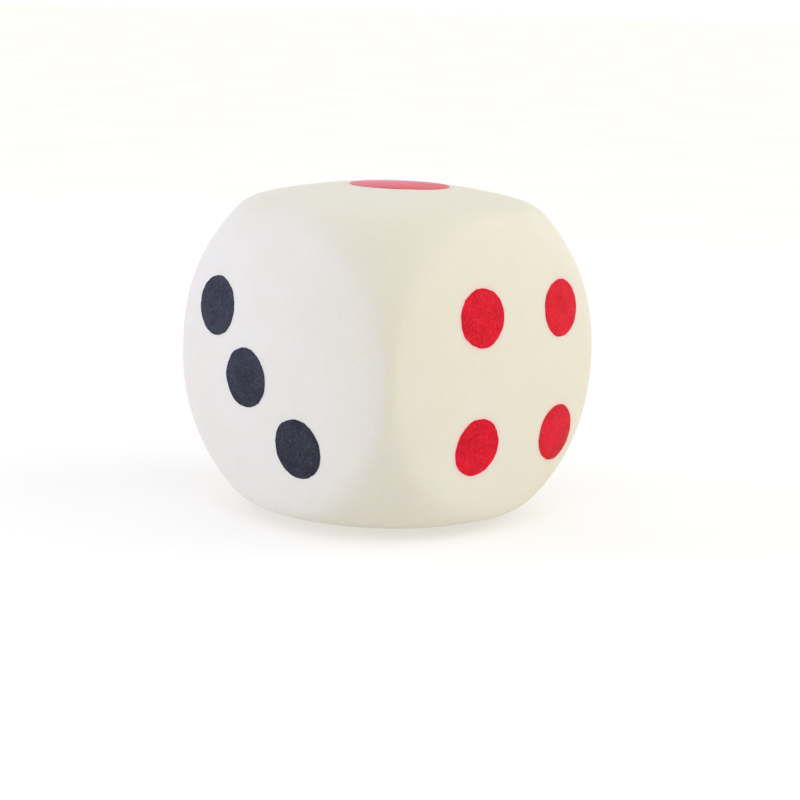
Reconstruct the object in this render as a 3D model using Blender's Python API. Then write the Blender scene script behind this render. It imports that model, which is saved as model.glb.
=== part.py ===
"""Soft foam die: one moulded foam body and the 21 printed colour spots set flush in its skin.

Metres, +Z up. The die stands on its two-spot face, whose soft crown is pressed flat at z = 0.
The single red spot is on top (+Z), the three dark spots face -Y and the four red spots face +X.
"""
import math

import bmesh
import bpy
from mathutils import Matrix, Vector

# Body
EDGE = 0.065             # between the crowns of opposite faces
CORNER_BALL_R = 0.0402   # ball that rounds off the edges and corners
FACE_DOME_R = 0.112      # radius of the slight crown on every face
EDGE_BLEND = 0.0025      # depth over which a crown melts into the rounded edge
LAND_R = 0.0150          # flat that the soft crown makes where the die stands on it
BODY_CELLS = 20          # mesh cells along one face

# Spots
SPOT_R = 0.0056          # dark spots
RED_SPOT_R = 0.0054      # the four red spots
ONE_SPOT_R = 0.0096      # the larger single spot
COLUMN_PITCH = 0.0114    # middle of a face to a column of spots
ROW_PITCH = 0.0120       # middle of a face to a row of spots
SPOT_WALL = 0.0018       # bare skin between neighbours in a column of the six
SPOT_THICK = 0.0006      # ink and the skin that it has soaked into
FIT_GAP = 0.0003         # between a spot and the body, at its rim and under it
SPOT_SIDES = 28
SPOT_RINGS = 2

HALF = EDGE / 2
DOME_CENTRE = HALF - FACE_DOME_R
SIX_ROW_PITCH = 2 * SPOT_R + SPOT_WALL
CUTTER_RISE = 0.002      # how far a pocket cutter stands above the skin

# Each face: outward direction, then the two directions that its spots are laid out along
FACES = {
    "one": (Vector((0, 0, 1)), Vector((1, 0, 0)), Vector((0, 1, 0))),
    "two": (Vector((0, 0, -1)), Vector((1, 0, 0)), Vector((0, -1, 0))),
    "three": (Vector((0, -1, 0)), Vector((1, 0, 0)), Vector((0, 0, 1))),
    "four": (Vector((1, 0, 0)), Vector((0, 1, 0)), Vector((0, 0, 1))),
    "five": (Vector((0, 1, 0)), Vector((-1, 0, 0)), Vector((0, 0, 1))),
    "six": (Vector((-1, 0, 0)), Vector((0, -1, 0)), Vector((0, 0, 1))),
}

# Where the spots stand on each face, as columns and rows along those two directions
LAYOUT = {
    "one": [(0, 0)],
    "two": [(-1, 1), (1, -1)],
    "three": [(-1, 1), (0, 0), (1, -1)],
    "four": [(-1, 1), (1, 1), (-1, -1), (1, -1)],
    "five": [(-1, 1), (1, 1), (0, 0), (-1, -1), (1, -1)],
    "six": [(-1, 1), (1, 1), (-1, 0), (1, 0), (-1, -1), (1, -1)],
}
RED_FACES = ("one", "four")
STANDING_FACE = "two"

# How far the printing has drifted on a face, across and up, and how far the three's middle spot has
PRINT_DRIFT = {
    "one": Vector((0.0011, 0.0011)),
    "three": Vector((-0.0034, -0.0024)),
    "four": Vector((0.0035, -0.0014)),
}
MIDDLE_SPOT_DRIFT = Vector((-0.0019, -0.0005))


def make_material(name, colour, roughness):
    material = bpy.data.materials.new(name)
    material.use_nodes = True
    shader = material.node_tree.nodes["Principled BSDF"]
    shader.inputs["Base Color"].default_value = (*colour, 1.0)
    shader.inputs["Roughness"].default_value = roughness
    shader.inputs["Metallic"].default_value = 0.0
    material.diffuse_color = (*colour, 1.0)
    return material


def softer_of(first, second):
    """The smaller of two distances, with the crease between them melted over EDGE_BLEND."""
    overlap = max(EDGE_BLEND - abs(first - second), 0.0) / EDGE_BLEND
    return min(first, second) - overlap ** 3 * EDGE_BLEND / 6


def crown_distance(along):
    """From the die's middle to a crowned face, for a direction whose share along the face axis is given."""
    half_b = along * DOME_CENTRE
    return half_b + math.sqrt(half_b ** 2 - DOME_CENTRE ** 2 + FACE_DOME_R ** 2)


def skin_distance(direction):
    """From the die's middle to its skin: a ball cut by the crowns of the three pairs of faces."""
    distance = CORNER_BALL_R
    for share in direction:
        distance = softer_of(distance, crown_distance(abs(share)))
    return distance


def skin_height(across):
    """Height of the skin above the die's middle plane, at a place on a face given by its offset across."""
    low, high = 0.0, FACE_DOME_R
    for _ in range(40):
        height = (low + high) / 2
        spot = Vector((across.x, across.y, height))
        if skin_distance(spot.normalized()) > spot.length:
            low = height
        else:
            high = height
    return low


def land_height():
    """From the die's middle to the flat land under it, which takes in the crown out to LAND_R."""
    return skin_height(Vector((LAND_R, 0)))


def face_height(face, across):
    """Height of a face's skin above the die's middle plane, where the standing face is pressed flat."""
    height = skin_height(across)
    return min(height, land_height()) if face == STANDING_FACE else height


def add_object(name, mesh, material):
    mesh.materials.append(material)
    mesh.shade_smooth()
    mesh.set_sharp_from_angle(angle=math.radians(35))
    piece = bpy.data.objects.new(name, mesh)
    bpy.context.scene.collection.objects.link(piece)
    return piece


def spot_solid(face, radius, place, top, bottom):
    """A round closed disc that follows a face's skin: its two sides lie top and bottom above it."""
    work = bmesh.new()
    layers = []
    for level in (top, bottom):
        middle = work.verts.new((place.x, place.y, face_height(face, place) + level))
        rings = []
        for ring in range(1, SPOT_RINGS + 1):
            points = []
            for side in range(SPOT_SIDES):
                turn = 2 * math.pi * side / SPOT_SIDES
                offset = Vector((math.cos(turn), math.sin(turn))) * radius * ring / SPOT_RINGS
                across = place + offset
                points.append(work.verts.new((across.x, across.y, face_height(face, across) + level)))
            rings.append(points)
        layers.append((middle, rings))
    for middle, rings in layers:
        for side in range(SPOT_SIDES):
            after = (side + 1) % SPOT_SIDES
            work.faces.new((middle, rings[0][side], rings[0][after]))
            for inner, outer in zip(rings, rings[1:]):
                work.faces.new((inner[side], outer[side], outer[after], inner[after]))
    upper_rim, lower_rim = layers[0][1][-1], layers[1][1][-1]
    for side in range(SPOT_SIDES):
        after = (side + 1) % SPOT_SIDES
        work.faces.new((upper_rim[side], lower_rim[side], lower_rim[after], upper_rim[after]))
    bmesh.ops.recalc_face_normals(work, faces=work.faces)
    return work


def face_matrix(face):
    """Turns a spot built on top of the middle plane onto its face of the standing die."""
    outward, right, up = FACES[face]
    return Matrix.Translation((0, 0, land_height())) @ Matrix((right, up, outward)).transposed().to_4x4()


def spots():
    """Every spot's node name, face, place and radius."""
    found = []
    radii = {"one": ONE_SPOT_R, "four": RED_SPOT_R}
    for face, places in LAYOUT.items():
        row_pitch = SIX_ROW_PITCH if face == "six" else ROW_PITCH
        for number, (column, row) in enumerate(places, start=1):
            name = f"spot_{face}" if len(places) == 1 else f"spot_{face}_{number}"
            place = Vector((column * COLUMN_PITCH, row * row_pitch)) + PRINT_DRIFT.get(face, Vector((0, 0)))
            if face == "three" and (column, row) == (0, 0):
                place += MIDDLE_SPOT_DRIFT
            found.append((name, face, place, radii.get(face, SPOT_R)))
    return found


def make_spots(dark, red):
    for name, face, place, radius in spots():
        work = spot_solid(face, radius, place, 0.0, -SPOT_THICK)
        work.transform(face_matrix(face))
        mesh = bpy.data.meshes.new(name)
        work.to_mesh(mesh)
        work.free()
        add_object(name, mesh, red if face in RED_FACES else dark)


def make_pocket_cutter():
    """All the shallow pockets that the spots sit in, as one mesh of separate closed discs."""
    cutter = bpy.data.meshes.new("pocket_cutter")
    gathered = bmesh.new()
    for _, face, place, radius in spots():
        work = spot_solid(face, radius + FIT_GAP, place, CUTTER_RISE, -SPOT_THICK - FIT_GAP)
        work.transform(face_matrix(face))
        work.to_mesh(cutter)
        work.free()
        gathered.from_mesh(cutter)
    gathered.to_mesh(cutter)
    gathered.free()
    piece = bpy.data.objects.new("pocket_cutter", cutter)
    bpy.context.scene.collection.objects.link(piece)
    piece.hide_render = True
    piece.display_type = "WIRE"
    return piece


def make_body(material):
    """The foam body: a gridded cube blown out to the skin, cut flat at the land, with the spots' pockets."""
    work = bmesh.new()
    bmesh.ops.create_cube(work, size=2.0)
    bmesh.ops.subdivide_edges(work, edges=work.edges, cuts=BODY_CELLS - 1, use_grid_fill=True)
    centre = Vector((0, 0, land_height()))
    for vert in work.verts:
        evened = Vector([math.tan(share * math.pi / 4) for share in vert.co]).normalized()
        vert.co = evened * skin_distance(evened) + centre
    everything = work.verts[:] + work.edges[:] + work.faces[:]
    bmesh.ops.bisect_plane(
        work, geom=everything, plane_co=(0, 0, 0), plane_no=(0, 0, -1), clear_outer=True)
    rim = [edge for edge in work.edges if edge.is_boundary]
    bmesh.ops.contextual_create(work, geom=rim)
    bmesh.ops.recalc_face_normals(work, faces=work.faces)
    mesh = bpy.data.meshes.new("foam_body")
    work.to_mesh(mesh)
    work.free()
    body = add_object("foam_body", mesh, material)
    pockets = body.modifiers.new("spot_pockets", "BOOLEAN")
    pockets.operation = "DIFFERENCE"
    pockets.solver = "EXACT"
    pockets.object = make_pocket_cutter()


def main():
    for piece in list(bpy.data.objects):
        bpy.data.objects.remove(piece)
    foam = make_material("foam_skin", (0.80, 0.765, 0.68), 0.62)
    dark = make_material("dark_ink", (0.045, 0.048, 0.065), 0.55)
    red = make_material("red_ink", (0.70, 0.030, 0.048), 0.48)
    make_body(foam)
    make_spots(dark, red)


main()
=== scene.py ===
# %% [markdown]
# A soft foam die, 65 mm from crown to crown
#
# The real thing is one lump of moulded foam with a smooth matt skin, and 21 round colour
# spots printed on it. It could be a subdivided cube with a bevel, but a bevelled cube has
# flat faces and even edges. This die has slightly crowned faces that melt into a ball, so
# its shape is written as a rule and Geometry Nodes carries the rule out.

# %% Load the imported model
import math

import bmesh
import bpy
from mathutils import Matrix, Vector


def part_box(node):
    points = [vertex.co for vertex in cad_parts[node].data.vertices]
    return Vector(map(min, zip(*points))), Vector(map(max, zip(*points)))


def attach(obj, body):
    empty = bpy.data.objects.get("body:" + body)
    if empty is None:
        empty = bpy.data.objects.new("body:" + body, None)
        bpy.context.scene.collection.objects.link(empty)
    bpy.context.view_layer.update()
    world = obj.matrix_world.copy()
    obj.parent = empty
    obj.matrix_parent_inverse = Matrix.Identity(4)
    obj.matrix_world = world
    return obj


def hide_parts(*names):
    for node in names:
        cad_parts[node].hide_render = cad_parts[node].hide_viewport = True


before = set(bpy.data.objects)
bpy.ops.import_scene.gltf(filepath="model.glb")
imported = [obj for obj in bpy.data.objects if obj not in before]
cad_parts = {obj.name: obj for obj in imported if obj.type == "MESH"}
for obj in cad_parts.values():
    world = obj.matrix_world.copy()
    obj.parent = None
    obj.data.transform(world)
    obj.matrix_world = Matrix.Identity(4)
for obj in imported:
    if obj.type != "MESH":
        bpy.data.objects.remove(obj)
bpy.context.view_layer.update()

# %% [markdown]
# Sizes
#
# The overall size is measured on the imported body. The other sizes are those of the mould:
# the ball that rounds the corners, the crown of each face, and how deep the crease between
# them is melted. The crown underneath is soft and presses flat where the die stands, so the
# die's middle is as high as the crown is at the rim of that flat. Metres throughout.

# %% Sizes of the body and the spots
body_low, body_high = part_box("foam_body")
EDGE = (body_high - body_low).x
HALF = EDGE / 2
CORNER_BALL_R = 0.0402
FACE_DOME_R = 0.112
EDGE_BLEND = 0.0025
LAND_R = 0.015

FACES = {
    "one": ((0, 0, 1), (1, 0, 0), (0, 1, 0)),
    "two": ((0, 0, -1), (1, 0, 0), (0, -1, 0)),
    "three": ((0, -1, 0), (1, 0, 0), (0, 0, 1)),
    "four": ((1, 0, 0), (0, 1, 0), (0, 0, 1)),
    "five": ((0, 1, 0), (-1, 0, 0), (0, 0, 1)),
    "six": ((-1, 0, 0), (0, -1, 0), (0, 0, 1)),
}
RED_FACES = ("one", "four")
spot_nodes = sorted(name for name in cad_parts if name.startswith("spot_"))
DIE_MIDDLE = Vector((0, 0, HALF - FACE_DOME_R + math.sqrt(FACE_DOME_R ** 2 - LAND_R ** 2)))
print(f"edge {EDGE * 1000:.1f} mm, middle {DIE_MIDDLE.z * 1000:.2f} mm up, {len(spot_nodes)} spots")

# %% [markdown]
# Camera
#
# A small object is seen from close by, a little above it and corner on, so that two side
# faces show equally and the top is a sliver. A long lens would flatten it and a wide one
# would swell its near edge.

# %% Put the camera in front of the corner
AZIMUTH, ELEVATION, ROLL = math.radians(44.2), math.radians(9.2), math.radians(1.5)
DISTANCE = 0.42
LENS = 97
AIM_RIGHT, AIM_UP = 0.0027, -0.0098

away = Vector((math.sin(AZIMUTH) * math.cos(ELEVATION),
               -math.cos(AZIMUTH) * math.cos(ELEVATION), math.sin(ELEVATION)))
right = Vector((0, 0, 1)).cross(away).normalized()
aim = DIE_MIDDLE + right * AIM_RIGHT + away.cross(right) * AIM_UP
place = DIE_MIDDLE + away * DISTANCE
level = (place - aim).to_track_quat("Z", "Y").to_matrix()

lens_data = bpy.data.cameras.new("corner_camera")
lens_data.lens = LENS
lens_data.clip_start = 0.01
camera = bpy.data.objects.new("corner_camera", lens_data)
camera.matrix_world = (Matrix.Translation(place) @ level.to_4x4() @ Matrix.Rotation(ROLL, 4, "Z"))
bpy.context.scene.collection.objects.link(camera)
bpy.context.scene.camera = camera
print(f"lens {LENS} mm at {DISTANCE * 1000:.0f} mm")

# %% [markdown]
# Helpers for node trees
#
# A Geometry Nodes tree is a small program. These helpers add a node, join sockets and do
# sums on them, so that a rule reads in the script much as it would on paper.

# %% Short ways to write node trees
class Tree:
    """A node group with named inputs, and short ways to add and join nodes."""

    def __init__(self, name, inputs):
        self.group = bpy.data.node_groups.new(name, "GeometryNodeTree")
        self.group.interface.new_socket("Geometry", in_out="OUTPUT", socket_type="NodeSocketGeometry")
        for label, kind, value in inputs:
            socket = self.group.interface.new_socket(
                label, in_out="INPUT", socket_type=f"NodeSocket{kind}")
            if value is not None:
                socket.default_value = value
        self.given = self.group.nodes.new("NodeGroupInput").outputs

    def add(self, kind, settings=None, **inputs):
        node = self.group.nodes.new(kind)
        for name, value in (settings or {}).items():
            setattr(node, name, value)
        for label, value in inputs.items():
            self.feed(node.inputs[label.replace("_", " ")], value)
        return node

    def feed(self, socket, value):
        if isinstance(value, bpy.types.NodeSocket):
            self.group.links.new(value, socket)
        else:
            socket.default_value = value

    def sum(self, operation, *values):
        node = self.group.nodes.new("ShaderNodeMath")
        node.operation = operation
        for socket, value in zip(node.inputs, values):
            self.feed(socket, value)
        return node.outputs[0]

    def vector(self, operation, *values):
        node = self.group.nodes.new("ShaderNodeVectorMath")
        node.operation = operation
        for socket, value in zip(node.inputs, values):
            self.feed(socket, value)
        return node.outputs["Value" if operation in ("LENGTH", "DOT_PRODUCT") else "Vector"]

    def split(self, vector):
        return self.add("ShaderNodeSeparateXYZ", Vector=vector).outputs

    def join(self, x, y, z):
        return self.add("ShaderNodeCombineXYZ", X=x, Y=y, Z=z).outputs[0]

    def finish(self, geometry, material):
        real = self.add("GeometryNodeRealizeInstances", Geometry=geometry).outputs[0]
        smooth = self.add("GeometryNodeSetShadeSmooth", Geometry=real).outputs[0]
        painted = self.add("GeometryNodeSetMaterial", Geometry=smooth, Material=material)
        end = self.group.nodes.new("NodeGroupOutput")
        self.group.links.new(painted.outputs[0], end.inputs[0])


def made_by(tree, name, values):
    """Runs a tree with its named inputs set, and returns the result as a plain mesh object."""
    maker = bpy.data.objects.new("maker", bpy.data.meshes.new("maker"))
    bpy.context.scene.collection.objects.link(maker)
    modifier = maker.modifiers.new("maker", "NODES")
    modifier.node_group = tree.group
    sockets = {s.name: s.identifier for s in tree.group.interface.items_tree if s.in_out == "INPUT"}
    for label, value in values.items():
        modifier[sockets[label]] = value
    result = maker.evaluated_get(bpy.context.evaluated_depsgraph_get())
    mesh = bpy.data.meshes.new_from_object(result)
    mesh.name = name
    bpy.data.objects.remove(maker)
    piece = bpy.data.objects.new(name, mesh)
    bpy.context.scene.collection.objects.link(piece)
    return piece


# %% [markdown]
# Helpers for finishes
#
# Every finish here is procedural. Object coordinates are used, because each piece's object
# sits at the origin: a grain of a given size in metres then has that size on every piece.

# %% Short ways to write a finish
class Finish:
    """A material with a Principled shader, and short ways to add and join nodes."""

    def __init__(self, name):
        self.material = bpy.data.materials.new(name)
        self.material.use_nodes = True
        self.nodes, self.links = self.material.node_tree.nodes, self.material.node_tree.links
        self.shader = self.nodes["Principled BSDF"]
        self.place = self.nodes.new("ShaderNodeTexCoord").outputs["Object"]

    def noise(self, size, detail=2.0, roughness=0.5, shift=(0, 0, 0)):
        """Noise with features of about the given size in metres, shifted so that no two match."""
        moved = self.nodes.new("ShaderNodeVectorMath")
        self.links.new(self.place, moved.inputs[0])
        moved.inputs[1].default_value = shift
        noise = self.nodes.new("ShaderNodeTexNoise")
        noise.inputs["Scale"].default_value = 1 / size
        noise.inputs["Detail"].default_value = detail
        noise.inputs["Roughness"].default_value = roughness
        self.links.new(moved.outputs[0], noise.inputs["Vector"])
        return noise.outputs["Fac"]

    def reading(self, attribute):
        """A number that the piece's mesh carries at every point."""
        node = self.nodes.new("ShaderNodeAttribute")
        node.attribute_name = attribute
        return node.outputs["Fac"]

    def ramp(self, factor, *stops):
        """Turns a factor into a colour, by stops of (place, colour)."""
        ramp = self.nodes.new("ShaderNodeValToRGB")
        elements = ramp.color_ramp.elements
        while len(elements) > len(stops):
            elements.remove(elements[-1])
        while len(elements) < len(stops):
            elements.new(1.0)
        for element, (place, colour) in zip(elements, stops):
            element.position = place
            element.color = (*colour, 1.0)
        self.links.new(factor, ramp.inputs[0])
        return ramp.outputs[0]

    def blend(self, factor, first, second, how="MIX"):
        mix = self.nodes.new("ShaderNodeMix")
        mix.data_type, mix.blend_type = "RGBA", how
        for socket, value in ((mix.inputs[0], factor), (mix.inputs[6], first), (mix.inputs[7], second)):
            if isinstance(value, bpy.types.NodeSocket):
                self.links.new(value, socket)
            elif isinstance(value, tuple):
                socket.default_value = (*value, 1.0)
            else:
                socket.default_value = value
        return mix.outputs[2]

    def spread(self, factor, low, high, new_low, new_high):
        """Maps low to high onto new_low to new_high."""
        node = self.nodes.new("ShaderNodeMapRange")
        self.links.new(factor, node.inputs["Value"])
        limits = {"From Min": low, "From Max": high, "To Min": new_low, "To Max": new_high}
        for label, value in limits.items():
            node.inputs[label].default_value = value
        return node.outputs[0]

    def colour(self, socket):
        self.links.new(socket, self.shader.inputs["Base Color"])

    def roughness(self, socket):
        self.links.new(socket, self.shader.inputs["Roughness"])

    def bumps(self, *layers):
        """Stacks bump layers, each (height factor, height in metres, strength)."""
        normal = None
        for factor, height, strength in layers:
            bump = self.nodes.new("ShaderNodeBump")
            bump.inputs["Distance"].default_value = height
            bump.inputs["Strength"].default_value = strength
            self.links.new(factor, bump.inputs["Height"])
            if normal:
                self.links.new(normal, bump.inputs["Normal"])
            normal = bump.outputs[0]
        self.links.new(normal, self.shader.inputs["Normal"])


# %% [markdown]
# The foam's skin
#
# Moulded foam comes out of the tool with a closed, matt skin, cream rather than white. Its
# colour drifts a little from place to place where the skin is thicker or has been handled.
# Light sinks a millimetre or two into it, which fills its shadows, so it gets subsurface
# scattering. A fine bump gives the skin its dry, slightly pebbled look up close. Round the red
# spots the skin is tinted pink in a narrow band, which the mesh carries as a number, pink_rim.

# %% Make the foam finish
FOAM_LIGHT = (0.672, 0.640, 0.540)
FOAM_CREAM = (0.660, 0.620, 0.500)
FOAM_PINK = (0.665, 0.600, 0.515)
# pink of the narrow band that tints the skin round each red spot
RIM_PINK = (0.780, 0.470, 0.440)


def foam_finish():
    foam = Finish("foam_skin")
    drift = foam.noise(0.030, 2.0, shift=(0.013, 0.007, 0.0))
    base = foam.ramp(drift, (0.38, FOAM_CREAM), (0.62, FOAM_LIGHT))
    patches = foam.spread(foam.noise(0.017, 1.5, shift=(0.2, 0.1, 0.3)), 0.56, 0.74, 0.0, 0.40)
    base = foam.blend(patches, base, FOAM_PINK)
    grain = foam.noise(0.0006, 3.0, 0.6)
    flecks = foam.ramp(grain, (0.30, (0.965, 0.962, 0.955)), (0.70, (1.0, 1.0, 1.0)))
    base = foam.blend(1.0, base, flecks, "MULTIPLY")
    # tints the skin pink in a narrow band round each red spot, as far as the mesh's number says
    foam.colour(foam.blend(foam.spread(foam.reading("pink_rim"), 0.0, 1.0, 0.0, 0.65), base, RIM_PINK))
    foam.roughness(foam.spread(foam.noise(0.006, 3.0), 0.3, 0.7, 0.52, 0.68))
    foam.bumps((foam.noise(0.009, 2.0), 0.0004, 0.12), (foam.noise(0.00045, 2.0), 0.00004, 0.30))
    foam.shader.inputs["Subsurface Weight"].default_value = 0.30
    foam.shader.inputs["Subsurface Radius"].default_value = (1.0, 0.62, 0.36)
    foam.shader.inputs["Subsurface Scale"].default_value = 0.0030
    foam.shader.inputs["Specular IOR Level"].default_value = 0.35
    return foam.material


foam_skin = foam_finish()
print("finish", foam_skin.name)

# %% [markdown]
# The inks
#
# The spots are a flexible ink, printed through a stencil. It dries to a slightly grainy
# film: the foam's pebbles show through as lighter specks, and the film has more sheen than
# the foam, so that a spot seen edge on washes out. One function makes both colours.

# %% Make the two ink finishes
def ink_finish(name, deep, even, speck, specks, gloss, sheen):
    ink = Finish(name)
    cloudy = ink.ramp(ink.noise(0.0035, 2.0), (0.35, deep), (0.65, even))
    pebble = ink.noise(0.00042, 2.5, 0.62)
    ink.colour(ink.blend(ink.spread(pebble, 0.50, 0.78, 0.0, specks), cloudy, speck))
    ink.roughness(ink.spread(ink.noise(0.0012, 3.0), 0.3, 0.7, gloss - 0.06, gloss + 0.08))
    ink.bumps((pebble, 0.00005, 0.55))
    ink.shader.inputs["Specular IOR Level"].default_value = 0.07
    ink.shader.inputs["Sheen Weight"].default_value = sheen
    ink.shader.inputs["Sheen Roughness"].default_value = 0.27
    return ink.material


dark_ink = ink_finish("dark_ink", (0.018, 0.018, 0.025), (0.028, 0.028, 0.037),
                      (0.085, 0.087, 0.105), 0.60, 0.50, 0.02)
red_ink = ink_finish("red_ink", (0.500, 0.001, 0.010), (0.605, 0.002, 0.017),
                     (0.720, 0.060, 0.080), 0.55, 0.46, 0.28)
print("finishes", dark_ink.name, red_ink.name)

# %% [markdown]
# The body
#
# Each point of a finely gridded cube is pushed out along its own direction until it meets
# the rule's surface. The rule is a ball cut by six large crowns, with the creases melted by
# a smooth minimum, which is close to a mould's rounded cavity. A little slow noise
# keeps the skin from looking machined, and the underside is pressed flat where it rests: by
# the height of the ink above the floor, because the spots underneath are what touches it.

# %% Build the tree for the body
def body_tree():
    tree = Tree("rounded_die", [
        ("Half Edge", "Float", HALF), ("Corner Ball", "Float", CORNER_BALL_R),
        ("Face Dome", "Float", FACE_DOME_R), ("Edge Blend", "Float", EDGE_BLEND),
        ("Middle Height", "Float", DIE_MIDDLE.z), ("Land Height", "Float", 0.0), ("Cells", "Int", 120),
        ("Unevenness", "Float", 0.0), ("Seed", "Float", 0.0), ("Skin", "Material", None)])
    given = tree.given
    corners = tree.sum("ADD", given["Cells"], 1)
    cube = tree.add("GeometryNodeMeshCube", Size=(2, 2, 2), Vertices_X=corners,
                    Vertices_Y=corners, Vertices_Z=corners).outputs["Mesh"]
    shares = tree.split(tree.add("GeometryNodeInputPosition").outputs[0])
    evened = [tree.sum("TANGENT", tree.sum("MULTIPLY", share, math.pi / 4)) for share in shares]
    direction = tree.vector("NORMALIZE", tree.join(*evened))
    dome_middle = tree.sum("SUBTRACT", given["Half Edge"], given["Face Dome"])
    beyond = tree.sum("SUBTRACT", tree.sum("POWER", given["Face Dome"], 2),
                      tree.sum("POWER", dome_middle, 2))
    distance = given["Corner Ball"]
    for share in tree.split(direction):
        along = tree.sum("MULTIPLY", tree.sum("ABSOLUTE", share), dome_middle)
        reach = tree.sum("SQRT", tree.sum("MULTIPLY_ADD", along, along, beyond))
        distance = tree.sum("SMOOTH_MIN", distance, tree.sum("ADD", along, reach), given["Edge Blend"])
    uneven = tree.add("ShaderNodeTexNoise", {"noise_dimensions": "4D"}, Vector=direction,
                      W=given["Seed"], Scale=1.6, Detail=1.0).outputs["Fac"]
    swing = tree.sum("MULTIPLY", tree.sum("SUBTRACT", uneven, 0.5), given["Unevenness"])
    skin = tree.vector("MULTIPLY", direction, tree.join(*[tree.sum("ADD", distance, swing)] * 3))
    x, y, z = tree.split(skin)
    height = tree.sum("MAXIMUM", tree.sum("ADD", z, given["Middle Height"]), given["Land Height"])
    moved = tree.add("GeometryNodeSetPosition", Geometry=cube, Position=tree.join(x, y, height))
    tree.finish(moved.outputs[0], given["Skin"])
    return tree


# %% Make the body and let it stand for the foam node
BODY_CELLS = 120
FILM_ABOVE = 0.00006
body = made_by(body_tree(), "moulded_body", {
    "Half Edge": HALF, "Corner Ball": CORNER_BALL_R, "Face Dome": FACE_DOME_R,
    "Edge Blend": EDGE_BLEND, "Middle Height": DIE_MIDDLE.z, "Land Height": FILM_ABOVE,
    "Cells": BODY_CELLS, "Unevenness": 0.0005, "Seed": 3.7, "Skin": foam_skin})
print("body", len(body.data.polygons), "faces", [round(x * 1000, 2) for x in body.dimensions])

# %% [markdown]
# The spots
#
# A spot is a thin film of ink that lies on the crowned skin. It could be cut from a sphere
# or painted by the body's own finish, but as its own piece it keeps a crisp edge and can be
# swapped. The tree lays a polar grid over the spot's place, wobbles its rim as a stencil
# leaves it, drops every point onto the body, and thickens the film a little. Bending a flat
# grid round a circle turns it upside down, so its faces are flipped before it is thickened.

# %% Build the tree for one printed spot
FILM_BELOW = 0.00030


def spot_tree():
    tree = Tree("printed_spot", [
        ("Radius", "Float", 0.0057), ("Place", "Vector", (0, 0, 0)), ("Outward", "Vector", (0, 0, 1)),
        ("Across", "Vector", (1, 0, 0)), ("Along", "Vector", (0, 1, 0)), ("Rim Wobble", "Float", 0.02),
        ("Sides", "Int", 120), ("Rings", "Int", 9), ("Seed", "Float", 0.0),
        ("Body", "Object", None), ("Ink", "Material", None)])
    given = tree.given
    grid = tree.add("GeometryNodeMeshGrid", Size_X=1.0, Size_Y=1.0,
                    Vertices_X=tree.sum("ADD", given["Sides"], 1),
                    Vertices_Y=tree.sum("ADD", given["Rings"], 1)).outputs["Mesh"]
    x, y, _ = tree.split(tree.add("GeometryNodeInputPosition").outputs[0])
    turn = tree.sum("MULTIPLY", tree.sum("ADD", x, 0.5), 2 * math.pi)
    share = tree.sum("POWER", tree.sum("MINIMUM", tree.sum("ADD", y, 0.5), 1.0), 0.6)
    cosine, sine = tree.sum("COSINE", turn), tree.sum("SINE", turn)
    wobble = 0.0
    for scale, weight in ((1.3, 1.0), (4.5, 0.55), (14.0, 0.22)):
        noise = tree.add("ShaderNodeTexNoise", {"noise_dimensions": "4D"},
                         Vector=tree.join(cosine, sine, 0.0), W=given["Seed"], Scale=scale, Detail=1.0)
        swing = tree.sum("SUBTRACT", noise.outputs["Fac"], 0.5)
        wobble = tree.sum("MULTIPLY_ADD", swing, weight, wobble)
    rim = tree.sum("MULTIPLY_ADD", tree.sum("MULTIPLY", wobble, given["Rim Wobble"]), 1.0, 1.0)
    radius = tree.sum("MULTIPLY", tree.sum("MULTIPLY", share, given["Radius"]), rim)
    offset_across = tree.sum("MULTIPLY", radius, cosine)
    offset_along = tree.sum("MULTIPLY", radius, sine)
    sideways = tree.vector("MULTIPLY", given["Across"], tree.join(*[offset_across] * 3))
    upwards = tree.vector("MULTIPLY", given["Along"], tree.join(*[offset_along] * 3))
    start = tree.vector("ADD", tree.vector("ADD", given["Place"], given["Outward"]),
                        tree.vector("ADD", sideways, upwards))
    target = tree.add("GeometryNodeObjectInfo", {"transform_space": "RELATIVE"}, Object=given["Body"])
    ray = tree.add("GeometryNodeRaycast", Target_Geometry=target.outputs["Geometry"],
                   Source_Position=start, Ray_Length=2.0,
                   Ray_Direction=tree.vector("MULTIPLY", given["Outward"], (-1, -1, -1)))
    inward = tree.vector("MULTIPLY", given["Outward"], (-FILM_BELOW,) * 3)
    laid = tree.add("GeometryNodeSetPosition", Geometry=grid,
                    Position=tree.vector("ADD", ray.outputs["Hit Position"], inward)).outputs[0]
    closed = tree.add("GeometryNodeMergeByDistance", Geometry=laid, Distance=0.000002).outputs[0]
    closed = tree.add("GeometryNodeFlipFaces", Mesh=closed).outputs[0]
    film = tree.add("GeometryNodeExtrudeMesh", Mesh=closed, Individual=False,
                    Offset=given["Outward"], Offset_Scale=FILM_ABOVE + FILM_BELOW)
    under = tree.add("GeometryNodeFlipFaces", Mesh=closed).outputs[0]
    whole = tree.add("GeometryNodeJoinGeometry", Geometry=film.outputs["Mesh"])
    tree.group.links.new(under, whole.inputs[0])
    sealed = tree.add("GeometryNodeMergeByDistance", Geometry=whole.outputs[0], Distance=0.000002)
    tree.finish(sealed.outputs[0], given["Ink"])
    return tree


# %% [markdown]
# Where the spots go
#
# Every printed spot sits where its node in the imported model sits: the node's box gives its
# middle and its radius, so nothing is measured twice. Each one gets its own seed, so that
# no two rims are alike.

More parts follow.
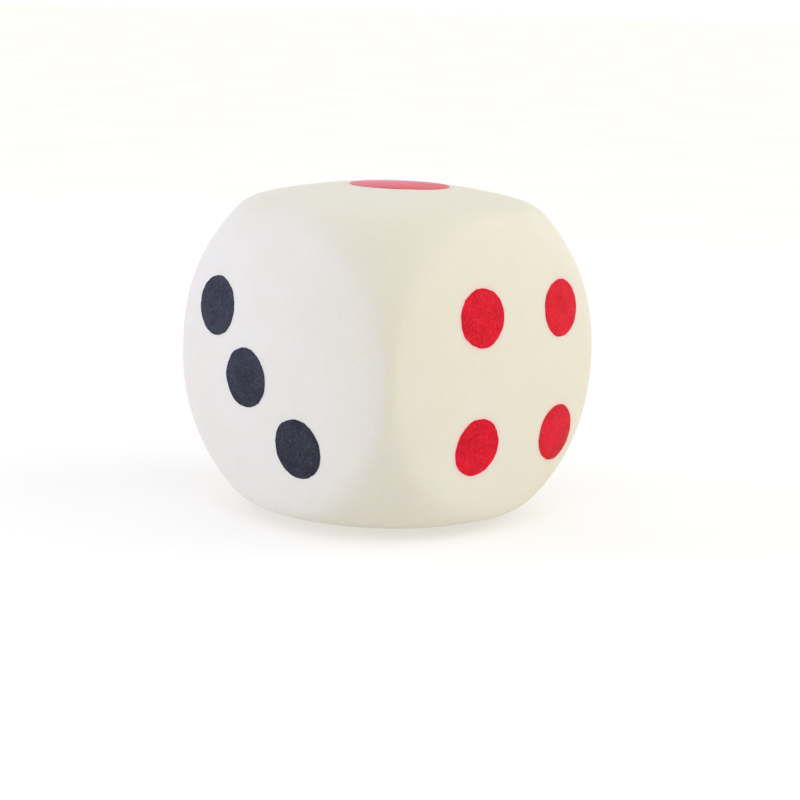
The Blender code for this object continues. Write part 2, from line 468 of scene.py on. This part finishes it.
# %% Print the spots
printed = spot_tree()
spots = []
red_places = []
for number, node in enumerate(spot_nodes):
    face = node.split("_")[1]
    outward, across, along = (Vector(v) for v in FACES[face])
    low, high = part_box(node)
    middle = (low + high) / 2
    size = high - low
    radius = (abs(size.dot(across)) + abs(size.dot(along))) / 4
    flat_place = middle - outward * (middle - DIE_MIDDLE).dot(outward)
    spot = made_by(printed, f"printed_{node}", {
        "Radius": radius, "Place": flat_place, "Outward": outward, "Across": across, "Along": along,
        "Rim Wobble": 0.10, "Sides": 128, "Rings": 9, "Seed": 11.3 + 4.1 * number,
        "Body": body, "Ink": red_ink if face in RED_FACES else dark_ink})
    spot.data.set_sharp_from_angle(angle=math.radians(35))
    spots.append((spot, node, face))
    if face in RED_FACES:
        red_places.append((middle, radius))
print(len(spots), "spots,", sum(len(spot.data.polygons) for spot, _, _ in spots), "faces")

# %% [markdown]
# The pink tint round the red spots
#
# The foam is tinted pink in a narrow band round the rim of each red spot. Each point of the
# body's mesh stores how near it is to the rim of a red spot, and the foam's finish reads that
# number. A painted texture would do the same, but this follows the spots wherever they are printed.

# %% Store the pink tint on the body's points
# how far out from a red spot's rim the pink tint of the skin reaches
RIM_REACH = 0.0016


def pink_rim_at(point):
    nearest = min((point - middle).length - radius for middle, radius in red_places)
    return max(0.0, 1.0 - max(nearest, 0.0) / RIM_REACH) ** 2


pink_rim = body.data.attributes.new("pink_rim", "FLOAT", "POINT")
pink_rim.data.foreach_set("value", [pink_rim_at(vert.co) for vert in body.data.vertices])
print("points with a trace of red:", sum(item.value > 0 for item in pink_rim.data))

# %% [markdown]
# Check the meshes
#
# A closed film has no open edge and a positive volume. Counting both here catches a seam
# that didn't merge or a shell that came out inside out, which a render can hide.

# %% Count open edges and volumes
def open_edges_and_volume(piece):
    work = bmesh.new()
    work.from_mesh(piece.data)
    found = sum(len(edge.link_faces) != 2 for edge in work.edges), work.calc_volume(signed=True)
    work.free()
    return found


for piece in [body] + [spot for spot, _, _ in spots]:
    loose, volume = open_edges_and_volume(piece)
    if loose or volume <= 0:
        print("fault in", piece.name, loose, volume)
print("body volume", round(open_edges_and_volume(body)[1] * 1e6, 1), "cubic centimetres")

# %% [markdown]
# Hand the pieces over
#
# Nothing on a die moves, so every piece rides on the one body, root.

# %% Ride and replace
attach(body, "root")
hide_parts("foam_body")
for spot, node, face in spots:
    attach(spot, "root")
    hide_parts(node)

# %% [markdown]
# The floor and the light
#
# The die stands on a light table: a matt pale sheet that glows itself, so that the floor
# stays white and only a thin contact shadow is left. A cool panel on the left and a nearly
# white one on the right, both low and outside the view, rake the two faces and leave the
# rounded edge between them a little darker. A panel overhead lifts the top.

# %% Lay the floor
FLOOR_HALF = 12.0
FLOOR_GREYS = (0.44, 0.46)
FLOOR_GLOW = 0.505


def floor_finish():
    sheet = Finish("white_sheet")
    low, high = ((grey, grey, grey) for grey in FLOOR_GREYS)
    sheet.colour(sheet.ramp(sheet.noise(0.08, 2.0), (0.3, low), (0.7, high)))
    sheet.shader.inputs["Roughness"].default_value = 0.9
    sheet.shader.inputs["Specular IOR Level"].default_value = 0.1
    sheet.shader.inputs["Emission Color"].default_value = (1.0, 0.97, 0.92, 1.0)
    sheet.shader.inputs["Emission Strength"].default_value = FLOOR_GLOW
    return sheet.material


floor_mesh = bpy.data.meshes.new("floor")
floor_mesh.from_pydata([(-FLOOR_HALF, -FLOOR_HALF, 0), (FLOOR_HALF, -FLOOR_HALF, 0),
                        (FLOOR_HALF, FLOOR_HALF, 0), (-FLOOR_HALF, FLOOR_HALF, 0)], [], [(0, 1, 2, 3)])
floor_mesh.materials.append(floor_finish())
floor = bpy.data.objects.new("floor", floor_mesh)
bpy.context.scene.collection.objects.link(floor)
print("floor", 2 * FLOOR_HALF, "m across")

# %% Hang the panels
def facing(azimuth, elevation):
    """Direction towards a light. Azimuth 0 is in front of the three, 90 in front of the four."""
    turn, rise = math.radians(azimuth), math.radians(elevation)
    return Vector((math.sin(turn) * math.cos(rise), -math.cos(turn) * math.cos(rise), math.sin(rise)))


def panel(name, azimuth, elevation, distance, size, watts, colour):
    """A square light panel that faces the die."""
    data = bpy.data.lights.new(name, "AREA")
    data.size, data.energy, data.color = size, watts, colour
    light = bpy.data.objects.new(name, data)
    towards = facing(azimuth, elevation)
    light.location = DIE_MIDDLE + towards * distance
    light.rotation_euler = towards.to_track_quat("Z", "Y").to_euler()
    bpy.context.scene.collection.objects.link(light)


panel("cool_panel", -44, 2, 0.9, 0.35, 7.0, (0.43, 0.50, 1.0))
panel("warm_panel", 130, 5, 0.9, 0.6, 0.5, (0.98, 0.96, 1.0))
panel("top_panel", 45, 60, 0.9, 0.7, 1.2, (0.65, 0.80, 1.0))

# %% [markdown]
# The far light
#
# A panel close by lights the floor unevenly, and the far floor would turn grey. A sun lamp
# lights all of it alike. A wide angle makes its shadow soft, so it only tints the left.

# %% Add one broad, far light that gives the floor its faint shadow
KEY_STRENGTH = 0.90
KEY_SPREAD = math.radians(55)

key_data = bpy.data.lights.new("far_light", "SUN")
key_data.energy = KEY_STRENGTH
key_data.angle = KEY_SPREAD
key_data.color = (1.0, 0.985, 0.96)
key = bpy.data.objects.new("far_light", key_data)
key.rotation_euler = facing(126, 28).to_track_quat("Z", "Y").to_euler()
bpy.context.scene.collection.objects.link(key)

# %% [markdown]
# The room
#
# An even sky fills the shadows from all round. It is a little weaker overhead, so that the
# top of the die doesn't outshine its sides.

# %% Fill the room with light that fades upwards
SKY_LOW, SKY_HIGH = 1.02, 0.92

world = bpy.data.worlds.new("light_room")
world.use_nodes = True
room = world.node_tree
direction = room.nodes.new("ShaderNodeTexCoord").outputs["Generated"]
upward = room.nodes.new("ShaderNodeSeparateXYZ")
fade = room.nodes.new("ShaderNodeMapRange")
room.links.new(direction, upward.inputs[0])
room.links.new(upward.outputs["Z"], fade.inputs["Value"])
for label, value in (("From Min", 0.05), ("From Max", 0.6), ("To Min", SKY_LOW), ("To Max", SKY_HIGH)):
    fade.inputs[label].default_value = value
room.links.new(fade.outputs[0], room.nodes["Background"].inputs["Strength"])
room.nodes["Background"].inputs["Color"].default_value = (1.0, 1.0, 1.0, 1.0)
bpy.context.scene.world = world
bpy.context.scene.view_settings.view_transform = "Standard"
